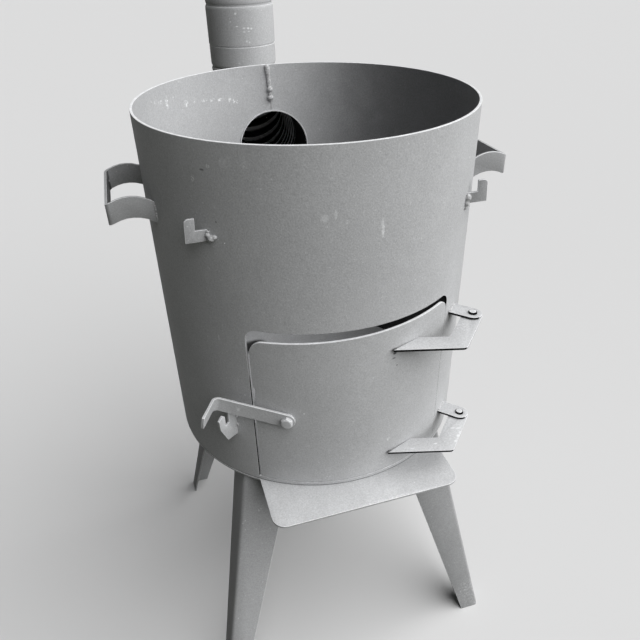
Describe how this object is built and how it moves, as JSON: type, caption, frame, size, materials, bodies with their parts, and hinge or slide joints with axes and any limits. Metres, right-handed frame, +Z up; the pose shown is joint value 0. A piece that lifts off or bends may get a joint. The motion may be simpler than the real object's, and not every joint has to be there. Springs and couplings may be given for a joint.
{
  "type": "kazan stove",
  "caption": "Open steel drum stove for a round-bottomed cauldron, on splayed legs, with a hinged curved fire door, drop latch, front shelf, strip handles and an elbowed flue.",
  "frame": {"origin": "centre of the floor plate's underside, on the drum's axis", "axes": "+Z up along the drum's axis, -Y towards the door and shelf, +X towards the hinges; the flue leaves towards +Y"},
  "size_m": [0.486, 0.6895, 1.2906],
  "materials": {
    "heat_paint": "satin-matte grey heat-resistant paint with fine grain, worn bright on cut edges"
  },
  "bodies": {
    "stove": {"drum_seam_weld": "heat_paint", "drum_shell": "heat_paint", "floor_plate": "heat_paint", "flue_collar": "heat_paint", "flue_elbow": "heat_paint", "handle_left": "heat_paint", "handle_right": "heat_paint", "hinge_lug_lower": "heat_paint", "hinge_lug_upper": "heat_paint", "hinge_pin_lower": "heat_paint", "hinge_pin_upper": "heat_paint", "latch_catch": "heat_paint", "leg_back_left": "heat_paint", "leg_back_right": "heat_paint", "leg_front_left": "heat_paint", "leg_front_right": "heat_paint", "tool_hook_left": "heat_paint", "tool_hook_right": "heat_paint", "tool_hook_weld_left": "heat_paint", "tool_hook_weld_right": "heat_paint"},
    "door": {"door_panel": "heat_paint", "hinge_arm_lower": "heat_paint", "hinge_arm_upper": "heat_paint", "latch_bolt": "heat_paint", "latch_nut": "heat_paint", "latch_washer": "heat_paint"},
    "latch": {"latch_bar": "heat_paint"},
    "pipe": {"flue_pipe": "heat_paint"}
  },
  "joints": [
    {"name": "door_swing", "type": "hinge", "parent": "stove", "child": "door", "pos_m": [0.15563, -0.16457, 0.12], "axis": [0, 0, 1], "range_deg": [0, 180]},
    {"name": "latch_lift", "type": "hinge", "parent": "door", "child": "latch", "pos_m": [-0.08495, -0.18217, 0.1163], "axis": [0.4226, 0.9063, 0], "range_deg": [-14.5, 75]},
    {"name": "flue_pipe_lift", "type": "slide", "parent": "stove", "child": "pipe", "axis": [0, 0, 1], "range_m": [0, 0.1]}
  ]
}
